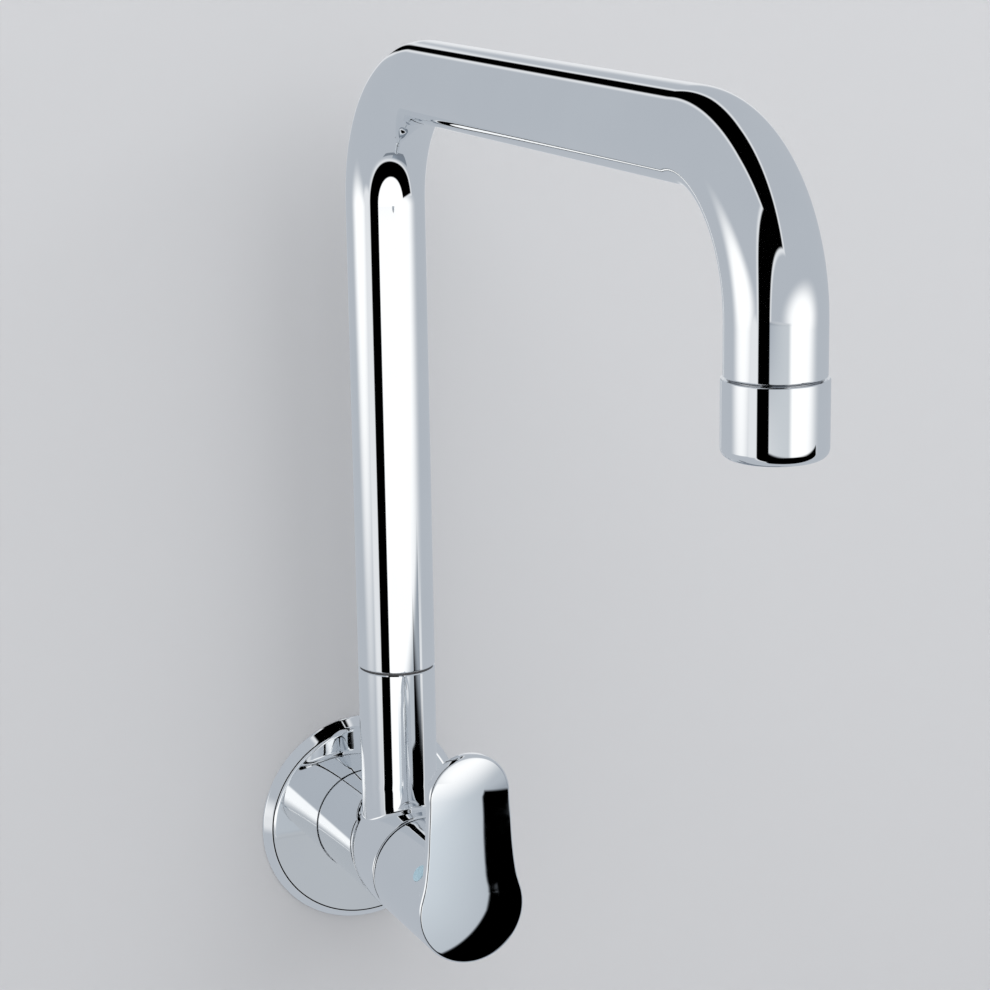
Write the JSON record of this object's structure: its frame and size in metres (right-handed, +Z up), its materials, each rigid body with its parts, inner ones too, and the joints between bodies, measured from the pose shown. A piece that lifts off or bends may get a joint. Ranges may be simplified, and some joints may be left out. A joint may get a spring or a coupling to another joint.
{
  "type": "wall tap",
  "caption": "Wall-fed cold kitchen tap: lever-turned ceramic valve, round cover flange, tall square swivel spout with a screwed aerator nozzle.",
  "frame": {"origin": "centre of the cover flange's back face, in the wall plane, on the barrel's axis", "axes": "+Z up along the riser, +Y into the wall along the barrel's axis, +X to the right of someone who faces the tap"},
  "size_m": [0.072, 0.3171, 0.3045],
  "materials": {
    "polished_chrome": "bright chrome plate",
    "turned_brass": "turned",
    "stainless_steel": "satin",
    "black_rubber": "moulded",
    "red_fibre": "pressed fibre",
    "alumina_ceramic": "lapped",
    "white_acetal": "moulded",
    "black_acetal": "moulded",
    "blue_plastic": "gloss"
  },
  "bodies": {
    "body": {"wall_flange": "polished_chrome", "flange_oring": "black_rubber", "barrel_sleeve": "polished_chrome", "inlet_tail": "turned_brass", "inlet_tail_washer": "red_fibre", "tap_body": "polished_chrome", "spout_retaining_screw": "stainless_steel", "headwork_bush": "turned_brass", "headwork_oring": "black_rubber", "seat_seal": "black_rubber", "fixed_disc": "alumina_ceramic", "spindle_glide_washer": "white_acetal", "swivel_thrust_washer": "black_acetal"},
    "handle": {"handle_lever": "polished_chrome", "spline_bush": "white_acetal", "handle_grub_screw": "stainless_steel", "index_plug": "blue_plastic", "spindle": "turned_brass", "rotating_disc": "alumina_ceramic", "spindle_oring_inner": "black_rubber", "spindle_oring_outer": "black_rubber", "spindle_clip": "stainless_steel"},
    "spout": {"spout_tube": "polished_chrome", "swivel_spigot": "turned_brass", "swivel_oring_lower": "black_rubber", "swivel_oring_upper": "black_rubber", "swivel_glide_ring_lower": "white_acetal", "swivel_glide_ring_upper": "white_acetal", "outlet_insert": "turned_brass", "aerator_housing": "polished_chrome", "aerator_washer": "black_rubber", "aerator_insert": "white_acetal", "aerator_screen": "stainless_steel"}
  },
  "joints": [
    {"name": "spout_swivel", "type": "hinge", "parent": "body", "child": "spout", "pos_m": [0, -0.036, 0.064], "axis": [0, 0, 1], "range_deg": [-90, 90]},
    {"name": "handle_turn", "type": "hinge", "parent": "body", "child": "handle", "pos_m": [0, -0.0562, 0], "axis": [0, -1, 0], "range_deg": [0, 90]}
  ]
}
